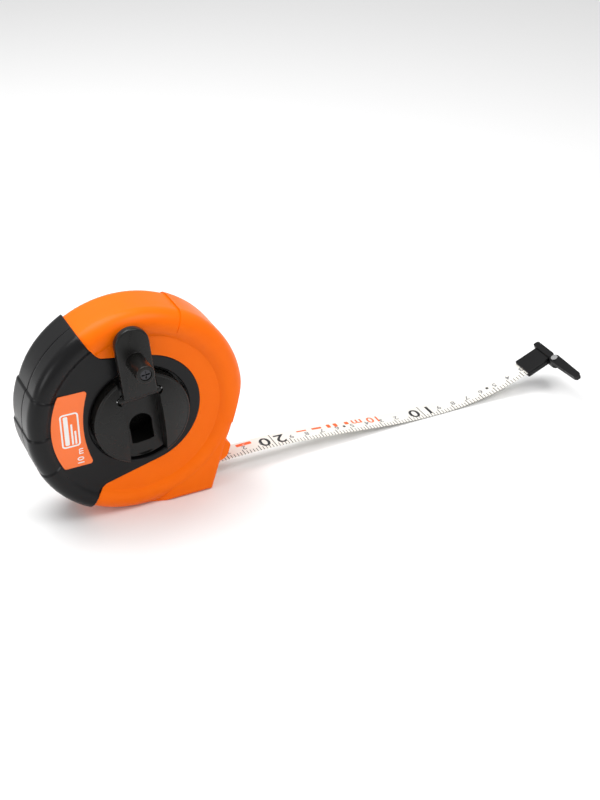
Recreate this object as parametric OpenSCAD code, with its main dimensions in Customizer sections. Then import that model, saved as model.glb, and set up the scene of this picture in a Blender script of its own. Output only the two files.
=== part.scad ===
// Closed-case winding tape measure with a folding crank.
// Frame: origin on the flat base straight under the hub axis, in the mid plane of the case.
// +X points the way the tape leaves, +Z is up, and the crank side faces -Y.

/* [Case] */
// Radius of the round case, from the hub axis to the outside of the rim
case_r = 60; // [59:0.5:75]
// Width of the case over both rims
case_w = 35; // [34.5:0.5:44]
// How much the flat base takes off the round case
base_cut = 0.5; // [0.3:0.1:1.5]
// Wall thickness of the moulded shells
wall = 2.2; // [1.6:0.1:2.6]
// Radius of the round outer edge of the rim
rim_edge_r = 8.5; // [7.5:0.1:9]
// How far the flat side faces lie below the rim
face_sink = 2; // [1:0.1:2.4]
// Place of the parting line, in front of the mid plane
seam_w = 3; // [2:0.5:4]
// How far the front part of the rim stands proud
rim_band = 0.8; // [0.4:0.1:1.4]

/* [Nose] */
// How far the flat nose face lies inside the case's radius
nose_cut = 4.4; // [2.5:0.1:5]
// Lean of the nose face
nose_lean = 18; // [12:1:22]
// Radius of the lower corner of the nose
nose_corner_r = 3; // [2.7:0.1:6]
// Radius along the long edges of the nose
nose_edge_r = 2.5; // [1:0.1:3]
// How far the brow over the mouth and the small upper lug stand out
brow_out = 3.2; // [2:0.1:4]
// Height of the mouth slot
mouth_h = 3.6; // [3:0.1:4.4]

/* [Grip] */
// Angle on the rim where the soft grip starts, above the rear
grip_top = 118.5; // [112:0.5:126]
// Angle on the rim where the soft grip ends, below the rear
grip_bottom = 238.5; // [232:0.5:244]
// Thickness of the soft grip
grip_t = 1.6; // [1:0.1:1.7]
// How far the soft grip stands proud of the shell
grip_proud = 0.8; // [0.4:0.1:1.4]
// Radius of the round edge of the soft grip
grip_edge_r = 6.5; // [5.5:0.1:7]
// Angle between the grooves across the grip
groove_step = 23; // [18:1:28]
// Width of a groove across the grip
groove_w = 1; // [0.6:0.1:1.6]
// Thickness of the label
label_t = 0.5; // [0.4:0.1:0.8]

/* [Crank] */
// Angle of the crank, from +X towards +Z
crank_rest = 95; // [80:1:100]
// Radius of the hub dome
hub_r = 26.7; // [26:0.1:28]
// Gap around the hub dome in its opening
hub_gap = 1.4; // [1:0.1:1.8]
// Height of the hub dome's rim above the case's rims
hub_rise = 2.5; // [2:0.1:3]
// Width of the soft panel's ring around the opening
ring_width = 4.9; // [4:0.1:6]
// Depth of the channel that the folded crank arm lies in, below the hub dome's rim
channel_depth = 6; // [5.6:0.1:6.4]
// Height of the hub dome's crown above its rim
dome_rise = 5; // [4.5:0.1:6]
// Width of the folding crank arm
flap_w = 18.6; // [16:0.1:19.2]
// Thickness of the folding crank arm
flap_t = 4.8; // [4:0.1:5]
// Reach of the crank arm's round tip from the hub axis
flap_reach = 57; // [53:0.5:57]
// Distance of the crank arm's hinge from the hub axis
hinge_v = 15.5; // [15:0.1:16]
// Height of the crank arm's hinge above the hub dome's rim
hinge_rise = 0.6; // [0.5:0.1:0.8]
// Distance of the knob from the hub axis
knob_v = 38; // [36.5:0.5:38.5]
// Radius of the knob
knob_r = 5; // [4:0.1:5.4]
// Length of the knob
knob_len = 14.7; // [12:0.1:15]

/* [Reel] */
// Outer radius of the reel's core tube
core_r = 22.8; // [22.4:0.1:26]
// Outer radius of the wound tape
coil_r = 44; // [38:0.5:44.5]
// Radius of the reel flanges
flange_r = 46; // [45:0.5:46.5]
// Thickness of the reel flanges
flange_t = 1.2; // [0.8:0.1:1.4]
// Radius of the axle post
axle_r = 5; // [4:0.1:6]

/* [Tape] */
// Width of the tape
tape_w = 13; // [10:0.5:13]
// Thickness of the tape
tape_t = 0.45; // [0.3:0.05:0.6]
// Height of the tape above the base where it leaves the nose
mouth_z = 8.6; // [8.3:0.1:9]
// Radius of the guide roller
roller_r = 2.4; // [2:0.1:2.6]

/* [Hook] */
// Length of the hook clamp
clamp_len = 20.5; // [18:0.5:26]
// Width of the hook clamp
clamp_w = 14; // [13.6:0.1:16]
// Length of the claw beyond its rivet
claw_len = 24.5; // [18:0.5:30]
// Width of the claw at its root
claw_w = 6.2; // [5:0.1:7]
// Thickness of the claw
claw_t = 2.8; // [2:0.1:4]
// Radius of the claw's rivet
rivet_r = 1.5; // [1:0.1:1.8]

/* [Hidden] */
$fn = 96;

// Clearances
run = 0.05;          // running fit, on the radius
gap = 0.3;           // between faces that pass each other
cut = 1;             // how far a cutting shape runs past a face
big = 200;           // larger than the whole case

// Case
hub_h = case_r - base_cut;
nose_d = case_r - nose_cut;
half_w = case_w / 2;
face_w = half_w - face_sink;
nose_w = half_w - 0.3;
room_r = case_r - wall;
room_w = face_w - wall;
room_bevel = rim_edge_r / 2;
foot_w = room_w + wall / 4;
open_r = hub_r + hub_gap;
nose_top = -12;
flare_back = 6;
flare_len = 22;
brow_top = -14;
brow_len = 13;
brow_end_r = 3.2;
brow_low_r = 6;
lug_up = 2.6;
screw_at = [48, 132, 214, -16];
boss_r = 3.4;
boss_at = case_r - 9;
screw_r = 1.45;
head_r = 2.7;
head_h = 2;
head_w = half_w - 5.5;

// Grip panel around the hub: a ring a little off the hub axis and two tangent edges
ring_r = open_r + ring_width;
ring_at = [1.5, 1.8];
top_slope = -9.5;
low_slope = 14;
grip_face_w = face_w + 0.3;

// Label: between a circle round the hub axis and one round a point in front of it
label_out_r = case_r - 11.2;
label_in_r = 63;
label_in_at = label_in_r - ring_r + 1.6;
label_half = 22.2;
label_corner_r = 1.6;

// Crank
arm_w = flap_w / 2 + 1.2;
hub_rim_w = half_w + hub_rise;
hinge_w = hub_rim_w + hinge_rise;
floor_w = hub_rim_w - channel_depth;
floor_t = 2.3;
hub_foot_w = floor_w - floor_t;
neck_r = core_r - 2.2;
pocket_r = neck_r - 1.8;
neck_end_w = 1.6;
slot_r = knob_r + 1.5;
fold_v = 2 * hinge_v - knob_v;
pin_r = 1;
pin_half = 14.9;
knuckle_r = 2.3;
knuckle_half = flap_w / 2 + 3.2;
flap_back_w = hub_rim_w + 0.5;
flap_front_w = flap_back_w + flap_t;
flap_low_v = hinge_v + 2.5;
knob_end_w = flap_front_w + gap + knob_len;
knob_pin_r = 1.6;

// Reel
side_w = tape_w / 2 + 0.4;
web_w = -3.4;
web_t = 1.8;
axle_end_w = web_w + web_t;
reel_screw_at = [[-13, 6], [0, 14.5], [13, 6]];
reel_screw_r = 1.1;

// Tape: each stretch of the free tape is an arc, [length, turn in degrees]
stretches = [[60, -9.5], [50, -1.5], [45, 7.5], [60, 21.5]];
exit_slope = 4.3;
tail = 34;
step = 2.5;
free_len = stretches[0][0] + stretches[1][0] + stretches[2][0] + stretches[3][0];
mouth_x = nose_x(mouth_z - hub_h);
roller_x = mouth_x - 5;
roller_z = tape_z(roller_x) + tape_t / 2 + roller_r + 0.15;
roller_pin_r = 1;

// Hook
upper_t = 1.3;
lower_t = 2.6;
bar_len = 4.2;
lug_y = 3.2;
claw_y = -clamp_w / 2 - 1.4 - claw_w / 2;
claw_x = clamp_len - 2.6;
tape_in = clamp_len - bar_len - 0.8;

// ---- Places along the nose face and the tape ----
function nose_x(v) = (nose_d + v * sin(nose_lean)) / cos(nose_lean);
function polar(r, a) = r * [cos(a), sin(a)];
function tape_z(x) = mouth_z + (x - mouth_x) * tan(exit_slope);
function turned(s, i = 0) = i >= len(stretches) ? 0
    : s <= stretches[i][0] ? stretches[i][1] * s / stretches[i][0]
    : stretches[i][1] + turned(s - stretches[i][0], i + 1);
function heading(s) = exit_slope + (s <= 0 ? 0 : turned(s));
function walk(n) = [for (i = 0, p = [mouth_x, mouth_z]; i <= n;
    p = p + step * [cos(heading((i + 0.5) * step)), sin(heading((i + 0.5) * step))], i = i + 1) p];
route = walk(free_len / step);
end_at = route[len(route) - 1];
end_heading = heading(free_len);

// ---- Frames ----
// Hub frame: local x is +X, local y is +Z, local z points out of the crank side
module on_hub() translate([0, 0, hub_h]) rotate([90, 0, 0]) children();
// Crank frame: as the hub frame, with local y along the crank arm
module on_crank() on_hub() rotate([0, 0, crank_rest - 90]) children();
// Hook frame: local x along the tape's end, local z out of its printed face
module on_hook() translate([end_at[0], 0, end_at[1]]) rotate([0, -end_heading, 0]) children();
// A disc or tube along the hub axis between two heights
module slab(r, w0, w1) translate([0, 0, w0]) cylinder(r = r, h = w1 - w0);
module tube(r, bore, w0, w1) difference() {
    slab(r, w0, w1);
    slab(bore, w0 - cut, w1 + cut);
}

// ---- Case ----
// Half of the section through a rim, moved inwards by inset
module half_section(r, w, edge, face, inset) {
    square([r - edge, face - inset]);
    square([r - inset, w - edge]);
    translate([r - edge, w - edge]) circle(edge - inset);
}
module full_section(r, w, edge, face, inset) {
    half_section(r, w, edge, face, inset);
    mirror([0, 1]) half_section(r, w, edge, face, inset);
}
module right_side() translate([0, -big]) square([big, 2 * big]);
module round_body(r, w, edge, face, inset) rotate_extrude() intersection() {
    full_section(r, w, edge, face, inset);
    right_side();
}
// Everything behind the nose face and above the base
module behind_nose(inset) {
    low = -hub_h + inset;
    lean = inset / cos(nose_lean);
    translate([0, 0, -big]) linear_extrude(2 * big)
        polygon([[-big, low], [nose_x(low) - lean, low], [nose_x(big) - lean, big], [-big, big]]);
}
// Outline of the nose below the round body, with its rounded lower corner
module nose_outline(inset) {
    r = nose_corner_r - inset;
    low = -hub_h + inset;
    cv = low + r;
    cx = nose_x(cv) - nose_corner_r / cos(nose_lean);
    polygon([[-flare_back, low], [cx, low], [cx, cv], [cx + r * cos(nose_lean), cv - r * sin(nose_lean)],
        [nose_x(nose_top) - inset / cos(nose_lean), nose_top], [-flare_back, nose_top]]);
    translate([cx, cv]) circle(r);
}
// Section of the nose across one of its long edges
module nose_edge(inset) {
    w = nose_w - inset;
    r = nose_edge_r;
    for (side = [-1, 1]) {
        translate([0, side < 0 ? -w : 0]) square([big, w - r]);
        translate([r, side < 0 ? -w : 0]) square([big - r, w]);
        translate([r, side * (w - r)]) circle(r);
    }
    translate([0, -w + r]) square([big, 2 * (w - r)]);
}
// Plan of the nose, which widens from the flat of the rim to the full width
module nose_flare(inset) {
    w = half_w - rim_edge_r - inset;
    polygon([[-flare_back, -w], [flare_len - flare_back, inset - half_w], [big, inset - half_w],
        [big, half_w - inset], [flare_len - flare_back, half_w - inset], [-flare_back, w]]);
}
module nose_block(inset) difference() {
    intersection() {
        translate([0, big / 2, 0]) rotate([90, 0, 0]) linear_extrude(big) nose_flare(inset);
        translate([0, 0, -half_w]) linear_extrude(case_w) nose_outline(inset);
        translate([0, -hub_h + inset, 0]) rotate([0, 0, 90]) rotate([90, 0, 0])
            translate([0, 0, -big / 2]) linear_extrude(big) nose_edge(inset);
        rotate([0, 0, -nose_lean]) translate([nose_d - inset, 0, 0]) rotate([0, 0, 180]) rotate([90, 0, 0])
            translate([0, 0, -big / 2]) linear_extrude(big) nose_edge(inset);
    }
    slab(case_r - 8, -big, big);
}
module case_body() intersection() {
    union() {
        round_body(case_r, half_w, rim_edge_r, face_w, 0);
        nose_block(0);
    }
    behind_nose(0);
}
module cavity() intersection() {
    union() {
        rotate_extrude() polygon([[0, -room_w], [room_r - room_bevel, -room_w], [room_r, room_bevel - room_w],
            [room_r, room_w - room_bevel], [room_r - room_bevel, room_w], [0, room_w]]);
        nose_block(wall);
    }
    behind_nose(wall);
}
// The front part of the rim stands proud of the rest
module proud_rim() intersection() {
    rotate_extrude(angle = 83, start = -20) intersection() {
        full_section(case_r + rim_band, half_w + rim_band / 2, rim_edge_r, face_w - 2, 0);
        translate([case_r - rim_edge_r - 3, -big]) square([big, 2 * big]);
    }
    behind_nose(0);
}
// Brow over the mouth and the small lug above it, standing out of the nose face
module nose_bumps() rotate([0, 0, -nose_lean]) {
    translate([nose_d + brow_out, 0, 1 - half_w]) {
        translate([-brow_end_r, brow_top - brow_end_r, 0]) cylinder(r = brow_end_r, h = case_w - 2);
        translate([-brow_low_r, brow_top - brow_len + brow_low_r, 0]) cylinder(r = brow_low_r, h = case_w - 2);
        translate([-brow_low_r, brow_top - brow_len + brow_low_r, 0])
            cube([brow_low_r, brow_len - brow_low_r - brow_end_r, case_w - 2]);
    }
    translate([nose_d - 0.4, lug_up, 5.5 - half_w]) cylinder(r = 2.9, h = case_w - 11);
}
module bosses(w0, w1) intersection() {
    for (a = screw_at) rotate([0, 0, a]) translate([boss_at, 0, 0]) slab(boss_r, w0, w1);
    case_body();
}
module screw_holes(r, w0, w1) for (a = screw_at) rotate([0, 0, a]) translate([boss_at, 0, 0]) slab(r, w0, w1);
module mouth() translate([mouth_x, mouth_z - hub_h, 0]) rotate([0, 0, exit_slope])
    translate([-5, -mouth_h / 2, -side_w - 0.4]) cube([5 + 3 * cut, mouth_h, 2 * side_w + 0.8]);
module roller_bosses(w0, w1) intersection() {
    translate([roller_x, roller_z - hub_h, 0]) slab(2.6, w0, w1);
    case_body();
}
module roller_pin_hole() translate([roller_x, roller_z - hub_h, 0])
    slab(roller_pin_r, -face_w + wall, face_w - wall);
module shells() {
    difference() {
        union() {
            case_body();
            proud_rim();
            intersection() {
                nose_bumps();
                translate([0, -hub_h, -half_w]) cube([big, big, case_w]);
            }
        }
        cavity();
    }
}
module grip_pocket() intersection() {
    difference() {
        slab(case_r + 5, -big / 2, big / 2);
        grip_body(grip_t);
    }
    translate([0, 0, -half_w - cut]) linear_extrude(case_w + 2 * cut) grip_outline();
}

// ---- Grip ----
// The panel: an off-centre ring, its two tangent edges, and the sector of the rim behind them
module grip_outline() {
    translate(ring_at) circle(ring_r);
    polygon([
        ring_at + ring_r * [-sin(top_slope), cos(top_slope)],
        polar(case_r - 17, grip_top - 2.6), polar(case_r - 14.2, grip_top - 0.9),
        polar(case_r - 9.5, grip_top - 0.6), polar(case_r - 7, grip_top),
        polar(big, grip_top), [-2 * big, 0], polar(big, grip_bottom),
        polar(case_r - 10, grip_bottom), polar(case_r - 13.4, grip_bottom + 0.3),
        polar(case_r - 16.3, grip_bottom + 1.9),
        ring_at + ring_r * [sin(low_slope), -cos(low_slope)]]);
}
module grip_body(inset)
    round_body(case_r + grip_proud, half_w + grip_proud / 2, grip_edge_r, grip_face_w, inset);
module grip_skin() difference() {
    intersection() {
        difference() {
            grip_body(0);
            grip_body(grip_t);
        }
        translate([0, 0, -half_w - cut]) linear_extrude(case_w + 2 * cut) grip_outline();
    }
    for (k = [-1:1]) intersection() {
        rotate([0, 0, 180 + k * groove_step]) translate([case_r - 9, -groove_w / 2, -big / 2])
            cube([big, groove_w, big]);
        difference() {
            slab(case_r + 5, -half_w - 5, half_w + 5);
            grip_body(0.7);
        }
    }
}
module above_seam() slab(big, seam_w, big);
module below_seam() slab(big, -big, seam_w);

// Outline of the label, made larger by grow
module label_outline(grow) offset(r = label_corner_r + grow) offset(delta = -label_corner_r) difference() {
    intersection() {
        circle(label_out_r);
        translate([-case_r, -label_half]) square([case_r, 2 * label_half]);
    }
    translate([label_in_at, 0]) circle(label_in_r);
}

// ---- Nodes: case ----
module front_shell() color("darkorange") on_hub() difference() {
    union() {
        difference() {
            intersection() {
                shells();
                above_seam();
            }
            grip_pocket();
        }
        tube(open_r + 2.4, open_r, hub_foot_w - 2.4, foot_w);
        bosses(seam_w, foot_w);
        roller_bosses(side_w + 1.2, nose_w - wall / 2);
    }
    roller_pin_hole();
    slab(open_r, hub_foot_w - 3, big);
    screw_holes(screw_r + run, seam_w - cut, face_w - wall - 1);
    mouth();
}
module rear_shell() color("darkorange") on_hub() difference() {
    union() {
        difference() {
            intersection() {
                shells();
                below_seam();
            }
            grip_pocket();
        }
        bosses(-foot_w, seam_w);
        roller_bosses(wall / 2 - nose_w, -side_w - 1.2);
        slab(axle_r, -foot_w, axle_end_w);
        slab(axle_r + 3, -foot_w, -side_w - flange_t - 3.2);
    }
    screw_holes(screw_r + 3 * run, -big, seam_w + cut);
    screw_holes(head_r + gap, -big, -head_w);
    slab(1.6, axle_end_w - 9, axle_end_w + cut);
    roller_pin_hole();
    mouth();
}
module front_grip() color("#1c1c1e") on_hub() difference() {
    intersection() {
        grip_skin();
        above_seam();
    }
    slab(open_r, 0, big);
    translate([0, 0, grip_face_w - 0.35]) linear_extrude(2) label_outline(0.15);
}
module rear_grip() color("#1c1c1e") on_hub() difference() {
    intersection() {
        grip_skin();
        below_seam();
    }
    screw_holes(head_r + gap, -big, 0);
}
module front_label() color("#e8460e") on_hub()
    translate([0, 0, grip_face_w - 0.35]) linear_extrude(label_t) label_outline(0);
module bearing_ring() color("#d8d4c8") on_hub()
    tube(open_r, neck_r + run, hub_foot_w - 2.4, hub_foot_w - 0.6);
module case_screws() color("silver") on_hub() for (a = screw_at)
    rotate([0, 0, a]) translate([boss_at, 0, 0]) {
        slab(screw_r, -head_w, seam_w + 7);
        difference() {
            slab(head_r, -head_w - head_h, -head_w);
            translate([0, 0, -head_w - head_h]) {
                cube([3.6, 0.8, 1.6], center = true);
                cube([0.8, 3.6, 1.6], center = true);
            }
        }
    }

// ---- Nodes: crank ----
dome_r = (hub_r * hub_r + dome_rise * dome_rise) / (2 * dome_rise);
module dome() rotate_extrude() intersection() {
    translate([0, hub_foot_w]) square([hub_r, big]);
    union() {
        translate([0, hub_foot_w]) square([hub_r, hub_rim_w - 0.6 - hub_foot_w]);
        translate([0, hub_rim_w + dome_rise - dome_r]) circle(dome_r);
        translate([hub_r - 1.1, hub_rim_w - 0.6]) circle(1.2);
    }
}
module knob_slot() intersection() {
    union() {
        translate([0, fold_v]) circle(slot_r);
        translate([0.2 - slot_r, 0.6 - pocket_r]) square([2 * slot_r - 0.4, pocket_r - slot_r]);
    }
    circle(pocket_r - 0.2);
}
module crank_hub() color("#2b2b2d") on_crank() difference() {
    union() {
        dome();
        tube(neck_r, pocket_r, neck_end_w, hub_foot_w + 0.1);
        for (p = reel_screw_at) translate(p) slab(2.8, web_w + web_t + 0.2, hub_foot_w + 0.1);
    }
    translate([-arm_w, -big / 2, floor_w]) cube([2 * arm_w, big, big]);
    translate([0, 0, hub_foot_w - cut]) linear_extrude(big) knob_slot();
    translate([-pin_half, hinge_v, hinge_w]) rotate([0, 90, 0]) cylinder(r = pin_r, h = 2 * pin_half);
    translate([0, hinge_v, hinge_w - knuckle_r - gap]) linear_extrude(big) {
        square([2 * (knuckle_half - knuckle_r), 2 * (knuckle_r + gap)], center = true);
        for (side = [-1, 1]) translate([side * (knuckle_half - knuckle_r), 0]) circle(knuckle_r + gap);
    }
    translate([0, -hub_r + 0.4, floor_w + 0.6]) rotate([28, 0, 0]) intersection() {
        translate([0, 7, 0]) cylinder(r = 7.6, h = 2.2, center = true);
        translate([0, -5.2, 0]) cylinder(r = 7.6, h = 2.2, center = true);
    }
    for (p = reel_screw_at) translate(p) slab(reel_screw_r, web_w, 5);
}
module flap_shape(v0, v1, half) {
    translate([0, v1 - half]) circle(half);
    translate([-half, v0]) square([2 * half, v1 - half - v0]);
}
module crank_flap() color("#2b2b2d") on_crank() difference() {
    union() {
        translate([0, 0, flap_back_w]) linear_extrude(flap_t) flap_shape(flap_low_v, flap_reach, flap_w / 2);
        translate([knuckle_r - knuckle_half, hinge_v, hinge_w]) rotate([0, 90, 0])
            cylinder(r = knuckle_r, h = 2 * (knuckle_half - knuckle_r));
        for (side = [-1, 1]) translate([side * (knuckle_half - knuckle_r), hinge_v, hinge_w]) sphere(knuckle_r);
        translate([-flap_w / 2, hinge_v, hinge_w - 1]) cube([flap_w, flap_low_v - hinge_v + 1, 3]);
        translate([0, knob_v, flap_front_w - 0.1]) cylinder(r = knob_r - 0.4, h = 0.1 + gap / 2);
    }
    translate([-pin_half, hinge_v, hinge_w]) rotate([0, 90, 0]) cylinder(r = pin_r + run, h = 2 * pin_half);
    translate([0, knob_v, flap_back_w - cut]) cylinder(r = knob_pin_r, h = flap_t + 3);
    difference() {
        translate([0, 0, flap_front_w - 0.8]) linear_extrude(2) flap_shape(knob_v + 8, flap_reach - 1.6, flap_w / 2 - 1.6);
        translate([0, knob_v + 8, 0]) slab(3, 0, big);
    }
}
module flap_pin() color("silver") on_crank() translate([-pin_half, hinge_v, hinge_w])
    rotate([0, 90, 0]) cylinder(r = pin_r, h = 2 * pin_half);
module crank_knob() color("#1c1c1e") on_crank() translate([0, knob_v, 0]) difference() {
    union() {
        slab(knob_r, flap_front_w + gap, knob_end_w - 0.8);
        slab(knob_r - 0.8, flap_front_w + gap, knob_end_w);
        rotate_extrude() translate([knob_r - 0.8, knob_end_w - 0.8]) circle(0.8);
    }
    slab(knob_pin_r + run, 0, big);
    slab(3.2, knob_end_w - 2.2, big);
}
module knob_screw() color("#3a3a3c") on_crank() translate([0, knob_v, 0]) {
    slab(knob_pin_r, flap_back_w + 0.4, knob_end_w - 2.1);
    difference() {
        slab(2.9, knob_end_w - 2.1, knob_end_w - 0.5);
        for (a = [0, 90]) rotate([0, 0, a]) translate([0, 0, knob_end_w - 0.5]) cube([4.4, 0.8, 1.6], center = true);
    }
}

// ---- Nodes: reel ----
module reel_core() color("#d8d4c8") on_crank() difference() {
    union() {
        tube(core_r, neck_r + run, -side_w, side_w);
        slab(core_r, web_w, web_w + web_t);
        slab(axle_r + 2.4, -side_w - flange_t - 2.8, web_w + 0.1);
    }
    slab(axle_r + run, -big, big);
    for (p = reel_screw_at) translate(p) slab(reel_screw_r + run, -big, big);
}
module reel_front_flange() color("#d8d4c8") on_crank() tube(flange_r, neck_r + run, side_w, side_w + flange_t);
module reel_rear_flange() color("#d8d4c8") on_crank() difference() {
    tube(flange_r, neck_r, -side_w - flange_t, -side_w);
    for (a = [0:60:300]) rotate([0, 0, a]) translate([(core_r + flange_r) / 2, 0, 0])
        slab(5, -side_w - flange_t - cut, -side_w + cut);
}
module reel_screws() color("silver") on_crank() for (p = reel_screw_at) translate(p) {
    slab(reel_screw_r, web_w, 4.5);
    slab(2.1, web_w - 1.6, web_w);
}
module tape_coil() color("#ece8dc") on_crank() tube(coil_r, core_r, -tape_w / 2, tape_w / 2);
module axle_washer() color("silver") on_hub() tube(axle_r + 2.2, 1.7, axle_end_w, axle_end_w + 0.8);
module axle_screw() color("silver") on_hub() {
    slab(1.55, axle_end_w - 8, axle_end_w + 0.8);
    slab(3.2, axle_end_w + 0.8, axle_end_w + 2);
}

// ---- Nodes: tape ----
// Tape from the coil's tangent point down to the guide roller
module tape_lead() color("#ece8dc") {
    from = [mouth_x - 4.5, mouth_z - hub_h + 0.6];
    dist = norm(from);
    back = atan2(-from[1], -from[0]);
    dir = back + asin(coil_r / dist);
    run_len = sqrt(dist * dist - coil_r * coil_r);
    on_hub() translate([from[0], from[1], -tape_w / 2]) rotate([0, 0, dir])
        translate([5, 0.1, 0]) cube([run_len - 5, tape_t, tape_w]);
}
module tape_strip() color("#ece8dc") {
    side = [for (i = [0:len(route) - 1]) let (h = heading(i * step)) tape_t / 2 * [-sin(h), cos(h)]];
    start = [mouth_x, mouth_z] - tail * [cos(exit_slope), sin(exit_slope)];
    finish = end_at + tape_in * [cos(end_heading), sin(end_heading)];
    top = concat([start + side[0]], [for (i = [0:len(route) - 1]) route[i] + side[i]], [finish + side[len(route) - 1]]);
    low = concat([start - side[0]], [for (i = [0:len(route) - 1]) route[i] - side[i]], [finish - side[len(route) - 1]]);
    translate([0, tape_w / 2, 0]) rotate([90, 0, 0]) linear_extrude(tape_w)
        polygon(concat(low, [for (i = [len(top) - 1:-1:0]) top[i]]));
}
module guide_roller() color("#d8d4c8") on_hub() translate([roller_x, roller_z - hub_h, 0])
    tube(roller_r, roller_pin_r + run, -side_w - 0.6, side_w + 0.6);
module roller_pin() color("silver") on_hub() translate([roller_x, roller_z - hub_h, 0])
    slab(roller_pin_r, -face_w + wall, face_w - wall);

// ---- Nodes: hook ----
module rounded_plate(x0, x1, y0, y1, r, z0, z1) translate([0, 0, z0]) linear_extrude(z1 - z0) {
    translate([x0 + r, y0]) square([x1 - x0 - 2 * r, y1 - y0]);
    translate([x0, y0 + r]) square([x1 - x0, y1 - y0 - 2 * r]);
    for (x = [x0 + r, x1 - r]) for (y = [y0 + r, y1 - r]) translate([x, y]) circle(r);
}
module hook_upper() color("#1c1c1e") on_hook() {
    z0 = tape_t / 2;
    rounded_plate(0, clamp_len - bar_len + 1, -clamp_w / 2, clamp_w / 2, 1, z0, z0 + upper_t);
    rounded_plate(clamp_len - bar_len, clamp_len, -clamp_w / 2 - 0.8, clamp_w / 2 + lug_y, 1.6, z0, z0 + upper_t + 0.9);
}
module hook_lower() color("#1c1c1e") on_hook() difference() {
    z1 = -tape_t / 2;
    union() {
        rounded_plate(0, clamp_len - bar_len + 1, -clamp_w / 2, clamp_w / 2, 1, z1 - lower_t, z1);
        rounded_plate(clamp_len - bar_len, clamp_len, -clamp_w / 2 - 1, clamp_w / 2 + lug_y, 1.6, z1 - lower_t, z1 + tape_t);
        translate([claw_x, 0, z1 - lower_t]) {
            translate([-claw_w / 2, claw_y, 0]) cube([claw_w / 2 + clamp_len - claw_x, -claw_y - clamp_w / 2 + 2, lower_t]);
            translate([0, claw_y, 0]) cylinder(r = claw_w / 2, h = lower_t);
        }
    }
    translate([claw_x, claw_y, -lower_t - cut]) cylinder(r = rivet_r, h = lower_t + 3);
}
module hook_claw() color("#1c1c1e") on_hook() translate([claw_x, claw_y, -tape_t / 2 + gap]) difference() {
    union() {
        cylinder(r = claw_w / 2, h = claw_t);
        linear_extrude(claw_t) polygon([[-claw_w / 2, 0], [-claw_w / 2 + 1.2, -claw_len + 1.5],
            [-claw_w / 2 + 2.2, -claw_len], [claw_w / 2 - 1.6, -claw_len], [claw_w / 2 - 0.6, -claw_len + 1.5],
            [claw_w / 2, 0]]);
    }
    translate([0, 0, -cut]) cylinder(r = rivet_r + run, h = claw_t + 2 * cut);
}
module claw_rivet() color("silver") on_hook() translate([claw_x, claw_y, -tape_t / 2]) {
    translate([0, 0, -lower_t]) cylinder(r = rivet_r, h = lower_t + gap + claw_t + run);
    translate([0, 0, gap + claw_t + run]) cylinder(r = 2.1, h = 0.7);
}

front_shell();
rear_shell();
front_grip();
rear_grip();
front_label();
bearing_ring();
crank_hub();
crank_flap();
flap_pin();
crank_knob();
knob_screw();
reel_core();
reel_front_flange();
reel_rear_flange();
reel_screws();
tape_coil();
tape_lead();
tape_strip();
guide_roller();
roller_pin();
hook_upper();
hook_lower();
hook_claw();
claw_rivet();
case_screws();
axle_screw();
axle_washer();
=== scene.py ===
"""Winding tape measure with a folding crank: fine shapes, print, finishes, light and camera."""

import logging
import math
from dataclasses import dataclass, field
from enum import Enum

import bmesh
import bpy
import numpy as np
from mathutils import Matrix, Vector


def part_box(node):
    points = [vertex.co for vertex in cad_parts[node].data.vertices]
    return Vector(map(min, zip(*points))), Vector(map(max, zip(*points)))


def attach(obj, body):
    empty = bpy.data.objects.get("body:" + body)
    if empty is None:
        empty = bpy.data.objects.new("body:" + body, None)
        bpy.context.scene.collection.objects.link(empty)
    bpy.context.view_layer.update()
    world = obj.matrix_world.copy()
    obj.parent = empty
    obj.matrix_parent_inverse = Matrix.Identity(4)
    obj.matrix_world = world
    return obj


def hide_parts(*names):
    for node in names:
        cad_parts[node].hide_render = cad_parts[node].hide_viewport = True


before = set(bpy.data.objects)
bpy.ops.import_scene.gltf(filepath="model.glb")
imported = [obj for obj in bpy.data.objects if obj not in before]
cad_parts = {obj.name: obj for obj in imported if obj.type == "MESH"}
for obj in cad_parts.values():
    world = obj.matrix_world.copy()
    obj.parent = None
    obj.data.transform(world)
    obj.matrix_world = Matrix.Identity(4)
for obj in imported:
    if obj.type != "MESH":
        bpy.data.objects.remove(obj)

MM = 0.001
LOG = logging.getLogger("tape_measure")


class Slot(Enum):
    """Material slots of the record."""

    CASE = "case_plastic"
    GRIP = "grip_rubber"
    LABEL = "label_film"
    CRANK = "crank_plastic"
    REEL = "reel_plastic"
    TAPE = "tape_fibre"
    HOOK = "hook_plastic"
    STEEL = "steel"
    DARK_STEEL = "dark_steel"


# --- meshes


def weld(mesh: bpy.types.Mesh, crease: float = 35.0) -> None:
    """Merges doubled points, turns the faces outwards and shades smoothly below an angle.

    Args:
        mesh: The mesh to finish.
        crease: Edges sharper than this many degrees stay sharp.
    """
    work = bmesh.new()
    work.from_mesh(mesh)
    bmesh.ops.remove_doubles(work, verts=work.verts, dist=1e-7)
    bmesh.ops.dissolve_degenerate(work, edges=work.edges, dist=1e-7)
    bmesh.ops.recalc_face_normals(work, faces=work.faces)
    work.to_mesh(mesh)
    work.free()
    mesh.polygons.foreach_set("use_smooth", np.ones(len(mesh.polygons), bool))
    mesh.set_sharp_from_angle(angle=math.radians(crease))


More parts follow.
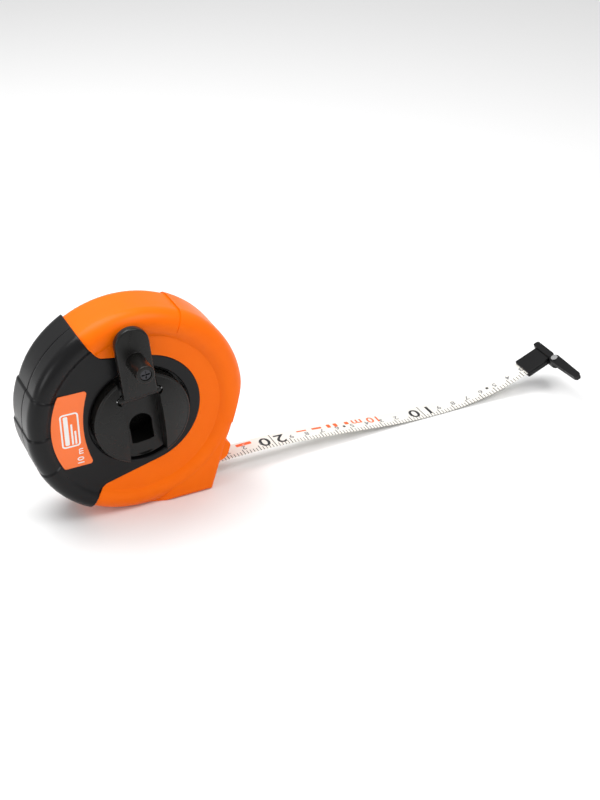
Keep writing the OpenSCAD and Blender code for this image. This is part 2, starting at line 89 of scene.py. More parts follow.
def add_piece(name: str, points: np.ndarray, faces: list, body: str,
              crease: float = 35.0, welded: bool = True) -> bpy.types.Object:
    """Makes a mesh piece with its place in its mesh, and rides it on a body.

    Args:
        name: The piece's name.
        points: Its points in metres, one row each.
        faces: Its faces, as lists of point numbers.
        body: The body that carries it.
        crease: Edges sharper than this many degrees stay sharp.
        welded: Whether doubled points are merged and faces turned outwards.

    Returns:
        The new object.
    """
    mesh = bpy.data.meshes.new(name)
    mesh.from_pydata(points.reshape(-1, 3).tolist(), [], faces)
    mesh.validate()
    if welded:
        weld(mesh, crease)
    piece = bpy.data.objects.new(name, mesh)
    bpy.context.scene.collection.objects.link(piece)
    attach(piece, body)
    LOG.info("%s: %d faces on %s", name, len(mesh.polygons), body)
    return piece


def grid_faces(rows: int, cols: int, first: int = 0, round_cols: bool = False) -> np.ndarray:
    """Quads between neighbouring rows and columns of a grid of points.

    Args:
        rows: Number of rows.
        cols: Number of points in a row.
        first: Number of the grid's first point.
        round_cols: Whether the last column joins the first.

    Returns:
        One row of four point numbers for each quad.
    """
    r, c = np.meshgrid(np.arange(rows - 1), np.arange(cols if round_cols else cols - 1), indexing="ij")
    after = (c + 1) % cols
    quads = np.stack([r * cols + c, r * cols + after, (r + 1) * cols + after, (r + 1) * cols + c], -1)
    return quads.reshape(-1, 4) + first


def rounded_outline(corners: list[tuple[float, float, float]], steps: int = 8) -> np.ndarray:
    """Closed outline through corners, each cut by a tangent arc.

    The arc of radius r at a corner starts r / tan(half the corner's angle) before it, and its points
    turn evenly about the centre that lies on the corner's bisector.

    Args:
        corners: (x, y, radius) of each corner, anticlockwise.
        steps: Points on each arc.

    Returns:
        The outline's points, one row each.
    """
    spots = np.array(corners, float)
    parts = []
    for k, (x, y, radius) in enumerate(corners):
        here = np.array([x, y])
        back = spots[k - 1, :2] - here
        ahead = spots[(k + 1) % len(spots), :2] - here
        back, ahead = back / np.linalg.norm(back), ahead / np.linalg.norm(ahead)
        half = math.acos(np.clip(back @ ahead, -1, 1)) / 2
        middle = back + ahead
        centre = here + middle / np.linalg.norm(middle) * radius / math.sin(half)
        begin = here + back * radius / math.tan(half) - centre
        turn = np.linspace(0, math.pi - 2 * half, steps)[:, None]
        parts.append(centre + begin * np.cos(turn) + np.array([-begin[1], begin[0]]) * np.sin(turn))
    return np.concatenate(parts)


def rounded_box(width: float, height: float, radius: float, steps: int = 8) -> np.ndarray:
    """Outline of a rectangle with round corners, centred on the origin.

    Args:
        width: Its size along x.
        height: Its size along y.
        radius: Radius of its corners.
        steps: Points on each corner.

    Returns:
        The outline's points, one row each.
    """
    w, h = width / 2, height / 2
    return rounded_outline([(-w, -h, radius), (w, -h, radius), (w, h, radius), (-w, h, radius)], steps)


def plate(outline: np.ndarray, low: float, high: float, edge: float,
          steps: int = 5) -> tuple[np.ndarray, list]:
    """A plate with round edges over a closed anticlockwise outline.

    Each ring of points is the outline moved inwards by edge * (1 - sin a) at the height
    edge * (1 - cos a) from a face, for the angles a of a quarter circle.

    Args:
        outline: The outline's points, one row each.
        low: Height of the lower face.
        high: Height of the upper face.
        edge: Radius of the round edges.
        steps: Rings on each edge.

    Returns:
        The points and the faces.
    """
    along = np.roll(outline, -1, 0) - np.roll(outline, 1, 0)
    inward = np.stack([-along[:, 1], along[:, 0]], 1) / np.linalg.norm(along, axis=1, keepdims=True)
    turn = np.linspace(0, math.pi / 2, steps)
    inset = edge * (1 - np.sin(turn))
    rise = edge * (1 - np.cos(turn))
    inset = np.concatenate([inset, inset[::-1]])
    level = np.concatenate([low + rise, high - rise[::-1]])
    flat = outline[None] + inward[None] * inset[:, None, None]
    points = np.concatenate([flat, np.broadcast_to(level[:, None, None], flat.shape[:2] + (1,))], -1)
    count = len(outline)
    faces = grid_faces(len(level), count, round_cols=True).tolist()
    faces.append(list(range(count))[::-1])
    faces.append(list(range((len(level) - 1) * count, len(level) * count)))
    return points.reshape(-1, 3), faces


def lathe(profile: np.ndarray, steps: int = 96) -> tuple[np.ndarray, list]:
    """A closed profile turned about its own height axis.

    Args:
        profile: (radius, height) of each point of the closed profile.
        steps: Points round the axis.

    Returns:
        The points, with the axis as the third coordinate, and the faces.
    """
    turn = np.linspace(0, 2 * math.pi, steps, endpoint=False)
    radius, height = profile[:, 0][:, None], profile[:, 1][:, None]
    ring = np.stack(np.broadcast_arrays(radius * np.cos(turn), radius * np.sin(turn), height), -1)
    closed = np.concatenate([ring, ring[:1]])
    return closed.reshape(-1, 3), grid_faces(len(closed), steps, round_cols=True).tolist()


def rod(radius: float, low: float, high: float, steps: int = 48) -> tuple[np.ndarray, list]:
    """A closed cylinder about the third axis.

    Args:
        radius: Its radius.
        low: Height of its lower end.
        high: Height of its upper end.
        steps: Points round the axis.

    Returns:
        The points and the faces.
    """
    turn = np.linspace(0, 2 * math.pi, steps, endpoint=False)
    ring = np.stack([radius * np.cos(turn), radius * np.sin(turn)], 1)
    points = np.concatenate([np.c_[ring, np.full(steps, low)], np.c_[ring, np.full(steps, high)]])
    faces = grid_faces(2, steps, round_cols=True).tolist()
    return points, faces + [list(range(steps))[::-1], list(range(steps, 2 * steps))]


def join(*parts: tuple[np.ndarray, list]) -> tuple[np.ndarray, list]:
    """Puts several meshes' points and faces into one."""
    points = np.concatenate([p.reshape(-1, 3) for p, _ in parts])
    starts = np.cumsum([0] + [len(p.reshape(-1, 3)) for p, _ in parts])
    faces = [[n + int(start) for n in f] for (_, fs), start in zip(parts, starts) for f in fs]
    return points, faces


def thicken(points: np.ndarray, quads: np.ndarray, under: np.ndarray) -> tuple[np.ndarray, list]:
    """Closes a sheet with its underside and a wall along each edge that has one face only.

    Args:
        points: The sheet's points.
        quads: The sheet's quads.
        under: The underside's points, one for each point of the sheet.

    Returns:
        The points and the faces.
    """
    sides = np.stack([quads, np.roll(quads, -1, 1)], -1).reshape(-1, 2)
    key = np.sort(sides, 1)
    _, where, times = np.unique(key, axis=0, return_index=True, return_counts=True)
    rim = sides[where[times == 1]]
    shift = len(points)
    walls = np.stack([rim[:, 1], rim[:, 0], rim[:, 0] + shift, rim[:, 1] + shift], 1)
    faces = np.concatenate([quads, quads[:, ::-1] + shift, walls])
    return np.concatenate([points, under]), faces.tolist()


def lettering(text: str, size: float, weight: float = 0.0, wide: float = 1.0) -> tuple[np.ndarray, list]:
    """Generic figures as a flat mesh, centred, in millimetres.

    Args:
        text: The figures.
        size: Their nominal height.
        weight: How far the strokes are widened on each side.
        wide: Stretch of their width.

    Returns:
        The points (x, y, 0) and the faces.
    """
    curve = bpy.data.curves.new("figures", "FONT")
    curve.body = text
    curve.size = size
    curve.align_x = "CENTER"
    curve.align_y = "CENTER"
    curve.resolution_u = 4
    curve.offset = weight
    holder = bpy.data.objects.new("figures", curve)
    bpy.context.scene.collection.objects.link(holder)
    flat = bpy.data.meshes.new_from_object(holder.evaluated_get(bpy.context.evaluated_depsgraph_get()))
    points = np.zeros(len(flat.vertices) * 3)
    flat.vertices.foreach_get("co", points)
    faces = [list(p.vertices) for p in flat.polygons]
    bpy.data.objects.remove(holder)
    bpy.data.meshes.remove(flat)
    return points.reshape(-1, 3) * [wide, 1, 1], faces


# --- frames


@dataclass(frozen=True)
class HubFrame:
    """Frame on the hub axis: u along +X, v up, w out of the crank side, in millimetres."""

    turn: float = 0.0

    @property
    def height(self) -> float:
        """Height of the hub axis above the base, in millimetres."""
        low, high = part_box("bearing_ring")
        return (low.z + high.z) / 2 / MM

    def world(self, points: np.ndarray) -> np.ndarray:
        """Points (u, v, w) turned about the hub axis and placed in the world.

        Args:
            points: One row of u, v and w for each point.

        Returns:
            The points in metres.
        """
        a = math.radians(self.turn)
        u, v, w = points[..., 0], points[..., 1], points[..., 2]
        x = u * math.cos(a) - v * math.sin(a)
        z = u * math.sin(a) + v * math.cos(a)
        return np.stack([x, -w, z + self.height], -1) * MM


@dataclass(frozen=True)
class TapeRoute:
    """The line along which the free tape lies: a straight tail and four arcs."""

    arcs: tuple[tuple[float, float], ...] = ((60, -9.5), (50, -1.5), (45, 7.5), (60, 21.5))
    exit_slope: float = 4.3
    tail: float = 34.0
    beyond: float = 15.5
    thick: float = 0.45
    zero_at: float = 242.0

    @property
    def length(self) -> float:
        """Length of the free tape up to the hook, in millimetres."""
        return sum(arc[0] for arc in self.arcs)

    def heading(self, s: np.ndarray) -> np.ndarray:
        """Slope of the tape in radians: the exit's slope plus the turns passed so far."""
        ends = np.cumsum([0.0] + [arc[0] for arc in self.arcs])
        turns = np.cumsum([0.0] + [arc[1] for arc in self.arcs])
        return np.radians(self.exit_slope + np.interp(s, ends, turns))

    def place(self, s: np.ndarray, lift: np.ndarray) -> tuple[np.ndarray, np.ndarray]:
        """World x and z of points along the tape, in millimetres.

        The line is the running sum of (cos, sin) of the slope over short steps. It is set so that its
        highest corner is the CAD tape's.

        Args:
            s: Distance of each point from the mouth.
            lift: Height of each point over the tape's middle surface.

        Returns:
            The points' x and z.
        """
        fine = np.linspace(-self.tail, self.length + self.beyond, 2600)
        slope = self.heading((fine[1:] + fine[:-1]) / 2)
        step = fine[1] - fine[0]
        x = np.concatenate([[0.0], np.cumsum(np.cos(slope) * step)])
        z = np.concatenate([[0.0], np.cumsum(np.sin(slope) * step)])
        end = self.heading(fine[-1:])[0]
        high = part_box("tape_strip")[1]
        half = self.thick / 2
        x += high.x / MM - x[-1] - half * math.sin(end)
        z += high.z / MM - z[-1] - half * math.cos(end)
        angle = self.heading(s)
        return np.interp(s, fine, x) - lift * np.sin(angle), np.interp(s, fine, z) + lift * np.cos(angle)

    def world(self, points: np.ndarray) -> np.ndarray:
        """Points (s, across, lift) on the tape, placed in the world in metres."""
        x, z = self.place(points[..., 0], points[..., 2])
        return np.stack([x, points[..., 1], z], -1) * MM


# --- finishes


class Nodes:
    """Short words for building a node tree."""

    def __init__(self, tree: bpy.types.NodeTree) -> None:
        """Keeps the tree."""
        self.tree = tree

    def add(self, kind: str, **values: object) -> bpy.types.Node:
        """Adds a node.

        Args:
            kind: The node's type without the ShaderNode prefix.
            values: Properties of the node, or its inputs' values by name with underscores for spaces.

        Returns:
            The node.
        """
        node = self.tree.nodes.new("ShaderNode" + kind)
        for name, value in values.items():
            if hasattr(node, name):
                setattr(node, name, value)
            else:
                node.inputs[name.replace("_", " ")].default_value = value
        return node

    def link(self, source: bpy.types.NodeSocket, target: bpy.types.NodeSocket) -> None:
        """Joins two sockets."""
        self.tree.links.new(source, target)

    def math(self, operation: str, *inputs: object, clamp: bool = False) -> bpy.types.NodeSocket:
        """A Math node.

        Args:
            operation: The operation's name.
            inputs: Sockets or numbers.
            clamp: Whether the result is held between 0 and 1.

        Returns:
            Its result.
        """
        node = self.tree.nodes.new("ShaderNodeMath")
        node.operation = operation
        node.use_clamp = clamp
        for k, value in enumerate(inputs):
            if isinstance(value, bpy.types.NodeSocket):
                self.link(value, node.inputs[k])
            else:
                node.inputs[k].default_value = value
        return node.outputs[0]

    def mix(self, factor: object, first: object, second: object) -> bpy.types.NodeSocket:
        """A colour mix.

        Args:
            factor: Socket or number from 0, the first colour, to 1, the second.
            first: Socket or colour.
            second: Socket or colour.

        Returns:
            The mixed colour.
        """
        node = self.tree.nodes.new("ShaderNodeMix")
        node.data_type = "RGBA"
        for socket, value in ((node.inputs[0], factor), (node.inputs[6], first), (node.inputs[7], second)):
            if isinstance(value, bpy.types.NodeSocket):
                self.link(value, socket)
            else:
                socket.default_value = value
        return node.outputs[2]


def new_group(name: str, inputs: dict[str, float],
              outputs: dict[str, str]) -> tuple[bpy.types.NodeTree, Nodes]:
    """Starts a shader node group.

    Args:
        name: The group's name.
        inputs: Its number inputs with their first values.
        outputs: Its outputs with their socket types.

    Returns:
        The group and its builder.
    """
    tree = bpy.data.node_groups.new(name, "ShaderNodeTree")
    for label, value in inputs.items():
        socket = tree.interface.new_socket(label, in_out="INPUT", socket_type="NodeSocketFloat")
        socket.default_value = value
    for label, kind in outputs.items():
        tree.interface.new_socket(label, in_out="OUTPUT", socket_type=kind)
    return tree, Nodes(tree)


def moulded_grain() -> bpy.types.NodeTree:
    """Grain of a spark-eroded mould: two sizes of noise over the object's own coordinates.

    Returns:
        A group with the inputs Size, the grain's size in metres, and Depth, and the output Height.
    """
    tree, nodes = new_group("moulded_grain", {"Size": 0.0004, "Depth": 1.0}, {"Height": "NodeSocketFloat"})
    inside, outside = nodes.add("TexCoord"), tree.nodes.new("NodeGroupOutput")
    given = tree.nodes.new("NodeGroupInput")
    scale = nodes.math("DIVIDE", 1.0, given.outputs["Size"])
    fine = nodes.add("TexNoise", Detail=2.0, Roughness=0.6)
    broad = nodes.add("TexNoise", Detail=1.0, Roughness=0.5)
    nodes.link(inside.outputs["Object"], fine.inputs["Vector"])
    nodes.link(inside.outputs["Object"], broad.inputs["Vector"])
    nodes.link(scale, fine.inputs["Scale"])
    nodes.link(nodes.math("MULTIPLY", scale, 0.3), broad.inputs["Scale"])
    both = nodes.math("ADD", fine.outputs[0], nodes.math("MULTIPLY", broad.outputs[0], 0.5))
    nodes.link(nodes.math("MULTIPLY", both, given.outputs["Depth"]), outside.inputs["Height"])
    return tree


def handling() -> bpy.types.NodeTree:
    """Uneven gloss from handling, and a little dust on what faces up.

    Returns:
        A group with the inputs Amount and Dust, and the outputs Gloss, from 0 to 1, and Dusty.
    """
    tree, nodes = new_group("handling", {"Amount": 1.0, "Dust": 0.1},
                            {"Gloss": "NodeSocketFloat", "Dusty": "NodeSocketFloat"})
    given, outside = tree.nodes.new("NodeGroupInput"), tree.nodes.new("NodeGroupOutput")
    inside = nodes.add("TexCoord")
    smear = nodes.add("TexNoise", Scale=55.0, Detail=3.0, Roughness=0.55, Distortion=0.6)
    specks = nodes.add("TexNoise", Scale=700.0, Detail=2.0, Roughness=0.7)
    nodes.link(inside.outputs["Object"], smear.inputs["Vector"])
    nodes.link(inside.outputs["Object"], specks.inputs["Vector"])
    uneven = nodes.math("MULTIPLY", nodes.math("SUBTRACT", smear.outputs[0], 0.5), given.outputs["Amount"])
    nodes.link(nodes.math("ADD", uneven, 0.5, clamp=True), outside.inputs["Gloss"])
    axes = nodes.add("SeparateXYZ")
    nodes.link(inside.outputs["Normal"], axes.inputs[0])
    facing_up = nodes.math("MAXIMUM", axes.outputs[2], 0.0)
    spots = nodes.math("MULTIPLY", nodes.math("SUBTRACT", specks.outputs[0], 0.45, clamp=True), facing_up)
    nodes.link(nodes.math("MULTIPLY", spots, given.outputs["Dust"]), outside.inputs["Dusty"])
    return tree


class Groups:
    """The node groups that the finishes share, each built once."""

    made: dict[str, bpy.types.NodeTree] = {}

    @classmethod
    def get(cls, name: str) -> bpy.types.NodeTree:
        """The group of that name, built when it is first asked for."""
        makers = {"moulded_grain": moulded_grain, "handling": handling}
        if name not in cls.made:
            cls.made[name] = makers[name]()
        return cls.made[name]


@dataclass(frozen=True)
class Finish:
    """A moulded or metal surface: its colour, gloss, grain and wear."""

    name: str
    colour: tuple[float, float, float]
    shade: tuple[float, float, float]
    roughness: float = 0.4
    metallic: float = 0.0
    grain_size: float = 0.0004
    grain_depth: float = 0.3
    uneven: float = 0.15
    dust: float = 0.1
    coat: float = 0.0
    coat_roughness: float = 0.2
    specular: float = 0.5

    def base(self, nodes: Nodes, plain: bpy.types.NodeSocket) -> bpy.types.NodeSocket:
        """The colour under the dust; a printed finish adds its print here."""
        return plain

    def material(self) -> bpy.types.Material:
        """Builds the material, or returns the one that was built before.

        Returns:
            The material.
        """
        made = bpy.data.materials.get(self.name)
        if made:
            return made
        made = bpy.data.materials.new(self.name)
        made.use_nodes = True
        nodes = Nodes(made.node_tree)
        shader = made.node_tree.nodes["Principled BSDF"]
        shader.inputs["Metallic"].default_value = self.metallic
        shader.inputs["Coat Weight"].default_value = self.coat
        shader.inputs["Coat Roughness"].default_value = self.coat_roughness
        shader.inputs["Specular IOR Level"].default_value = self.specular
        worn = nodes.add("Group", node_tree=Groups.get("handling"))
        worn.inputs["Amount"].default_value = 1.0
        worn.inputs["Dust"].default_value = self.dust
        plain = nodes.mix(worn.outputs["Gloss"], (*self.shade, 1), (*self.colour, 1))
        colour = nodes.mix(worn.outputs["Dusty"], self.base(nodes, plain), (0.7, 0.68, 0.64, 1))
        nodes.link(colour, shader.inputs["Base Color"])
        spread = nodes.math("MULTIPLY", nodes.math("SUBTRACT", worn.outputs["Gloss"], 0.5), self.uneven)
        rough = nodes.math("ADD", spread, self.roughness)
        rough = nodes.math("ADD", rough, worn.outputs["Dusty"], clamp=True)
        nodes.link(rough, shader.inputs["Roughness"])
        grain = nodes.add("Group", node_tree=Groups.get("moulded_grain"))
        grain.inputs["Size"].default_value = self.grain_size
        grain.inputs["Depth"].default_value = 1.0
        bump = nodes.add("Bump", Strength=self.grain_depth, Distance=0.00005)
        nodes.link(grain.outputs["Height"], bump.inputs["Height"])
        nodes.link(bump.outputs["Normal"], shader.inputs["Normal"])
        return made


@dataclass(frozen=True)
class PrintedTape(Finish):
    """Coated tape with graduations printed by its own map: centimetres along and the share across."""

    ink: tuple[float, float, float] = (0.012, 0.012, 0.014)

    def base(self, nodes: Nodes, plain: bpy.types.NodeSocket) -> bpy.types.NodeSocket:
        """Marks each 2 mm, longer each centimetre, and full width each ten centimetres.

        A mark is where the distance from the nearest whole unit is less than half its width, and the
        share of the tape's width from the near edge is less than its length.
        """
        place = nodes.add("UVMap", uv_map="print")
        axes = nodes.add("SeparateXYZ")
        nodes.link(place.outputs[0], axes.inputs[0])
        along, across = axes.outputs[0], axes.outputs[1]
        marks = 0.0
        for unit, width, reach in ((0.2, 0.042, 0.22), (1.0, 0.05, 0.36), (10.0, 0.05, 1.1)):
            parts = nodes.math("FRACT", nodes.math("ADD", nodes.math("DIVIDE", along, unit), 100.5))
            away = nodes.math("ABSOLUTE", nodes.math("SUBTRACT", parts, 0.5))
            on_mark = nodes.math("LESS_THAN", away, width / 2 / unit)
            in_reach = nodes.math("LESS_THAN", across, reach)
            marks = nodes.math("MAXIMUM", nodes.math("MULTIPLY", on_mark, in_reach), marks)
        return nodes.mix(marks, plain, (*self.ink, 1))


class Finishes(Enum):
    """The finishes of the tape measure."""

    CASE = Finish("orange_case", (0.90, 0.155, 0.0), (0.87, 0.13, 0.0), roughness=0.36, grain_size=0.0005,
                  grain_depth=0.22, dust=0.0, specular=0.12)
    GRIP = Finish("black_grip", (0.006, 0.006, 0.0065), (0.004, 0.004, 0.0045), roughness=0.3,
                  grain_size=0.0004, grain_depth=0.3, dust=0.0, specular=0.2)
    LABEL = Finish("label_film", (0.88, 0.095, 0.002), (0.86, 0.085, 0.002), roughness=0.3, grain_size=0.001,
                   grain_depth=0.05, dust=0.0, specular=0.15)
    CRANK = Finish("charcoal_crank", (0.009, 0.0085, 0.008), (0.006, 0.006, 0.0055), roughness=0.28,
                   grain_size=0.00035, grain_depth=0.22, dust=0.0, specular=0.24)
    REEL = Finish("reel_acetal", (0.62, 0.60, 0.53), (0.55, 0.53, 0.46), roughness=0.38, grain_depth=0.1)
    TAPE = PrintedTape("printed_tape", (0.80, 0.78, 0.73), (0.76, 0.74, 0.68), roughness=0.3,
                       grain_size=0.0006, grain_depth=0.12, coat=0.4, coat_roughness=0.12, dust=0.0)
    WOUND = Finish("wound_tape", (0.78, 0.75, 0.66), (0.66, 0.63, 0.55), roughness=0.45, grain_size=0.0005,
                   grain_depth=0.3)
    HOOK = Finish("black_hook", (0.006, 0.006, 0.0065), (0.004, 0.004, 0.0045), roughness=0.3,
                  grain_size=0.00035, grain_depth=0.25, dust=0.0, specular=0.2)
    STEEL = Finish("plated_steel", (0.62, 0.62, 0.62), (0.50, 0.50, 0.51), roughness=0.28, metallic=1.0,
                   grain_size=0.0003, grain_depth=0.1, dust=0.02)
    DARK_STEEL = Finish("blackened_steel", (0.055, 0.055, 0.06), (0.035, 0.035, 0.04), roughness=0.32,
                        metallic=0.9, grain_size=0.0003, grain_depth=0.12, dust=0.02)
    INK = Finish("black_ink", (0.012, 0.012, 0.014), (0.02, 0.02, 0.022), roughness=0.4,
                 grain_depth=0.05, dust=0.0)
    GREY_INK = Finish("grey_ink", (0.16, 0.16, 0.17), (0.2, 0.2, 0.21), roughness=0.4,
                      grain_depth=0.05, dust=0.0)
    ORANGE_INK = Finish("orange_ink", (0.86, 0.12, 0.01), (0.8, 0.1, 0.01), roughness=0.4, grain_depth=0.05,
                        dust=0.0)
    WHITE_INK = Finish("white_ink", (0.85, 0.83, 0.8), (0.8, 0.78, 0.75), roughness=0.35, grain_depth=0.05,
                       dust=0.0)

    def dress(self, *pieces: bpy.types.Object) -> None:
        """Gives pieces this finish in place of what they had."""
        for piece in pieces:
            piece.data.materials.clear()
            piece.data.materials.append(self.value.material())


# --- case


@dataclass
class SoftGrip:
    """Soft black grip: a panel round the hub and a skin over the rear of the rim, one half each side."""

    hub: HubFrame = field(default_factory=HubFrame)
    ring_r: float = 33.0
    ring_at: tuple[float, float] = (1.5, 1.8)
    top_slope: float = -9.5
    low_slope: float = 14.0
    top: float = 118.5
    bottom: float = 238.5
    face_w: float = 15.8
    out_r: float = 60.8
    half_w: float = 17.9
    edge_r: float = 6.5
    seam_w: float = 3.0
    thick: float = 1.55
    open_r: float = 28.1
    shoulder_r: float = 53.0
    soft_edge: float = 0.7
    grooves: tuple[float, ...] = (157.0, 180.0, 203.0)
    groove_lap: float = 0.75
    lip: float = 0.16
    lip_foot_w: float = 9.6
    screw_angles: tuple[float, ...] = (132.0, 214.0)
    screw_r: float = 51.0
    screw_hole_r: float = 3.0

    def section(self, side: int) -> tuple[np.ndarray, np.ndarray, np.ndarray]:
        """Section from the hub axis over the rim to the parting line.

        It is the flat face, the round edge and the straight rim joined, and then evened by a running
        mean weighted with a raised cosine, which turns the step at the foot of the edge into a fillet.

        Args:
            side: 1 on the crank side, -1 on the other.

        Returns:
            The distances along the section, its (radius, height) points and its outward normals.
        """
        centre = np.array([self.out_r - self.edge_r, self.half_w - self.edge_r])
        start = math.pi - math.asin((self.face_w - centre[1]) / self.edge_r)
        turn = np.linspace(start, 0, 200)
        arc = centre + self.edge_r * np.stack([np.cos(turn), np.sin(turn)], 1)
        line = np.array([[0.0, self.face_w], *arc, [self.out_r, side * self.seam_w]])
        run = np.concatenate([[0.0], np.cumsum(np.linalg.norm(np.diff(line, axis=0), axis=1))])
        s = np.linspace(0, run[-1], int(run[-1] * 10))
        even = np.stack([np.interp(s, run, line[:, k]) for k in (0, 1)], 1)
        window = np.hanning(33)[:, None] / np.hanning(33).sum()
        padded = np.concatenate([2 * even[:1] - even[16:0:-1], even, 2 * even[-1:] - even[-2:-18:-1]])
        soft = np.stack([np.convolve(padded[:, k], window[:, 0], "valid") for k in (0, 1)], 1)
        slope = np.gradient(soft, s, axis=0)
        normal = np.stack([-slope[:, 1], slope[:, 0]], 1)
        return s, soft, normal / np.linalg.norm(normal, axis=1, keepdims=True)

    def outline_reach(self, angle: np.ndarray) -> np.ndarray:
        """Distance from the hub axis to the panel's outline at each angle, in degrees.

        The outline is the off-centre ring and its two tangent edges, with a small notch at each end,
        read by its polar coordinates.
        """
        at = np.array(self.ring_at)
        high, low = math.radians(90 + self.top_slope), math.radians(-90 + self.low_slope)
        sweep = np.linspace(low, high, 400)
        ring = at + self.ring_r * np.stack([np.cos(sweep), np.sin(sweep)], 1)
        corners = [(43.0, self.top - 2.6), (45.8, self.top - 0.9), (50.5, self.top - 0.6),
                   (self.shoulder_r, self.top)]
        ends = [(50.0, self.bottom), (46.6, self.bottom + 0.3), (43.7, self.bottom + 1.9)]

        def spots(places: list[tuple[float, float]]) -> np.ndarray:
            """Points (x, y) of places given by their radius and degrees."""
            r, a = np.array(places).T
            return np.stack([r * np.cos(np.radians(a)), r * np.sin(np.radians(a))], 1)

        def edges(stops: list[np.ndarray]) -> np.ndarray:
            """Close points on the straight lines between stops."""
            return np.concatenate([np.linspace(a, b, 60) for a, b in zip(stops, stops[1:])])

        line = np.concatenate([edges([*spots(ends), ring[0]]), ring, edges([ring[-1], *spots(corners)])])
        turn = np.degrees(np.unwrap(np.arctan2(line[:, 1], line[:, 0])))
        turn += 360 * round((self.bottom - turn[0]) / 360)
        later = np.where(angle < self.top, angle + 360, angle)
        return np.interp(later, turn, np.hypot(line[:, 0], line[:, 1]))

    def lap(self, angle: np.ndarray, radius: np.ndarray) -> np.ndarray:
        """How much lower the skin is near a groove, where each length of it slips under the next.

        The skin sinks by a square law over the 20 degrees before a groove and comes back within one
        degree after it. The effect grows from the face's edge to the rim.
        """
        sink = np.zeros_like(angle)
        for groove in self.grooves:
            before = np.clip(1 - (groove - angle) / 20, 0, 1) * (angle <= groove)
            after = np.clip(1 - (angle - groove) / 1.0, 0, 1) * (angle > groove)
            sink = np.maximum(sink, np.maximum(before ** 2, after))
        return self.groove_lap * sink * np.clip((radius - 44) / 6, 0, 1)

    def half(self, name: str, node: str, side: int, inner_r: float) -> bpy.types.Object:
        """One half of the grip.

        The sheet's point at angle a and distance s along the section is the section turned to a. Its
        rows run from the inner edge to the outline, and within the rim's sector on to the parting line.
        Near an edge the surface drops as a quarter circle of the soft edge's radius does.

        Args:
            name: The piece's name.
            node: The CAD node that it stands for.
            side: 1 on the crank side, -1 on the other.
            inner_r: Radius of the hole round the hub, or 0.

        Returns:
            The piece.
        """
        s, line, normal = self.section(side)
        close = np.array([0.0, 0.12, 0.3, 0.5, 0.8, 1.3])
        dense = [a + k * d for a in (self.top, self.bottom, *self.grooves) for d in close for k in (-1, 1)]
        angle = np.unique(np.round(np.concatenate([np.arange(self.top, self.top + 360, 1.5), dense,
                                                   [self.top + 360 - d for d in close]]), 3))
        angle = angle[(angle >= self.top) & (angle < self.top + 360)]
        in_rim = (angle >= self.top) & (angle <= self.bottom)
        reach = np.where(in_rim, self.shoulder_r, self.outline_reach(angle))
        reach[0] = self.shoulder_r
        flat = line[:, 0] < self.out_r - 1
        s_reach = np.interp(reach, line[flat, 0], s[flat])
        s_inner = float(np.interp(inner_r, line[flat, 0], s[flat]))
        near_inner = s_inner + (close if inner_r else 0 * close)
        spread = np.linspace(0, 1, 34)[1:-1, None]
        middle = near_inner[-1] * (1 - spread) + (s_reach - close[-1]) * spread
        inner = near_inner[:, None] * np.ones_like(angle) if inner_r else np.zeros((1, len(angle)))
        rows = np.concatenate([inner, middle, s_reach - close[::-1, None]])
        over = np.linspace(0, 1, 44)[1:, None]
        rim_rows = s_reach[in_rim] * (1 - over) + s[-1] * over
        tail = s[-1] - close[::-1, None] * np.ones(in_rim.sum())
        rim_rows = np.concatenate([rim_rows[rim_rows[:, 0] < tail[0, 0] - 0.2], tail])
        count = len(angle)
        quads = grid_faces(len(rows), count, round_cols=True)
        columns = np.flatnonzero(in_rim)
        shared = (len(rows) - 1) * count + columns
        first = len(rows) * count
        numbers = np.concatenate([shared[None], first + np.arange(rim_rows.size).reshape(rim_rows.shape)])
        strip = np.stack([numbers[:-1, :-1], numbers[:-1, 1:], numbers[1:, 1:], numbers[1:, :-1]], -1)
        quads = np.concatenate([quads, strip.reshape(-1, 4)])
        all_s = np.concatenate([rows.ravel(), rim_rows.ravel()])
        all_a = np.concatenate([np.broadcast_to(angle, rows.shape).ravel(),
                                np.broadcast_to(angle[columns], rim_rows.shape).ravel()])

        def surface(depth: np.ndarray) -> np.ndarray:
            """Points below the section by a depth, as (u, v, w)."""
            r = np.interp(all_s, s, line[:, 0]) - depth * np.interp(all_s, s, normal[:, 0])
            w = np.interp(all_s, s, line[:, 1]) - depth * np.interp(all_s, s, normal[:, 1])
            turn = np.radians(all_a)
            return np.stack([r * np.cos(turn), r * np.sin(turn), side * w], -1)

        skin = surface(np.zeros_like(all_s))
        sides = np.sort(np.stack([quads, np.roll(quads, -1, 1)], -1).reshape(-1, 2), 1)
        pairs, times = np.unique(sides, axis=0, return_counts=True)
        edge = skin[np.unique(pairs[times == 1])]
        edge = edge[np.hypot(edge[:, 0], edge[:, 1]) > 1]
        parts = np.array_split(skin, 60)
        away = np.concatenate([np.linalg.norm(p[:, None] - edge[None], axis=2).min(1) for p in parts])
        near = np.clip(1 - away / self.soft_edge, 0, 1)
        drop = self.soft_edge * (1 - np.sqrt(1 - near ** 2))
        radius = np.interp(all_s, s, line[:, 0])
        top = surface(drop + self.lap(all_a, radius))
        under = surface(np.full_like(all_s, self.thick))
        points, faces = thicken(top, quads, under)
        piece = add_piece(name, self.hub.world(points), faces, "case", crease=50)
        if side < 0:
            self.pierce(piece)
        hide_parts(node)
        return piece

